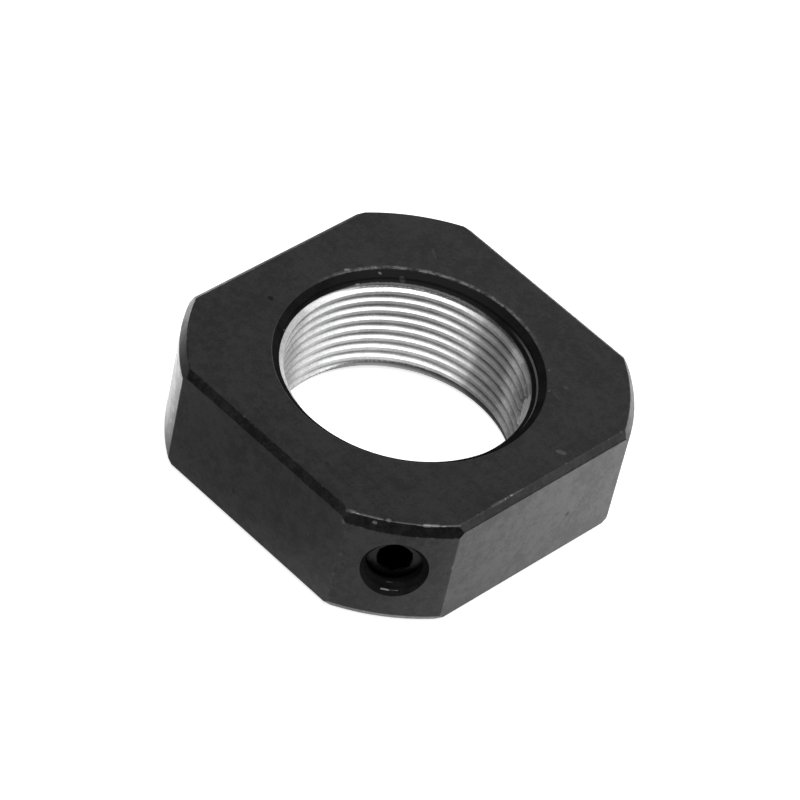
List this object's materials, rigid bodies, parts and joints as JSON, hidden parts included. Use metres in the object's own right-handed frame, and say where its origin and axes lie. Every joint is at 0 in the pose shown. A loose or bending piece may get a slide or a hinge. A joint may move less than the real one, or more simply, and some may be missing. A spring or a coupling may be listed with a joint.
{
  "type": "bearing lock nut",
  "caption": "Square bearing lock nut with turned corners and a fine-threaded bore, locked by socket set screws that press soft pads on the shaft's thread.",
  "frame": {"origin": "middle of the clamping face, the flat face that bears on the bearing's inner ring, on the bore's axis", "axes": "+Z along the bore, from the clamping face to the open face; X and Y square to the wrench flats, with the corners that hold the set screws towards +X -Y and +X +Y"},
  "size_m": [0.03, 0.03, 0.01],
  "materials": {
    "blackened_steel": "black oxide on turned and milled steel, satin, lightly rubbed on its edges; the thread in the bore is cut after blackening and is bare bright steel",
    "screw_steel": "black oxide alloy steel, slightly oily",
    "pad_nylon": "natural nylon, cut end"
  },
  "bodies": {
    "nut": {"nut_body": "blackened_steel"},
    "front_pad": {"locking_pad_front": "pad_nylon"},
    "front_screw": {"set_screw_front": "screw_steel"},
    "side_pad": {"locking_pad_side": "pad_nylon"},
    "side_screw": {"set_screw_side": "screw_steel"}
  },
  "joints": [
    {"name": "front_pad_slide", "type": "slide", "parent": "nut", "child": "front_pad", "axis": [0.7071, -0.7071, 0], "range_m": [-0.0002, 0.0012]},
    {"name": "front_screw_turn", "type": "hinge", "parent": "front_pad", "child": "front_screw", "pos_m": [0.0099, -0.0099, 0.0055], "axis": [0.7071, -0.7071, 0], "range_deg": [-90, 540]},
    {"name": "side_pad_slide", "type": "slide", "parent": "nut", "child": "side_pad", "axis": [0.7071, 0.7071, 0], "range_m": [-0.0002, 0.0012]},
    {"name": "side_screw_turn", "type": "hinge", "parent": "side_pad", "child": "side_screw", "pos_m": [0.0099, 0.0099, 0.0055], "axis": [0.7071, 0.7071, 0], "range_deg": [-90, 540]}
  ],
  "couplings": [
    {"joint": "front_screw_turn", "follows": "front_pad_slide", "rad_per_m": 7854},
    {"joint": "side_screw_turn", "follows": "side_pad_slide", "rad_per_m": 7854}
  ]
}
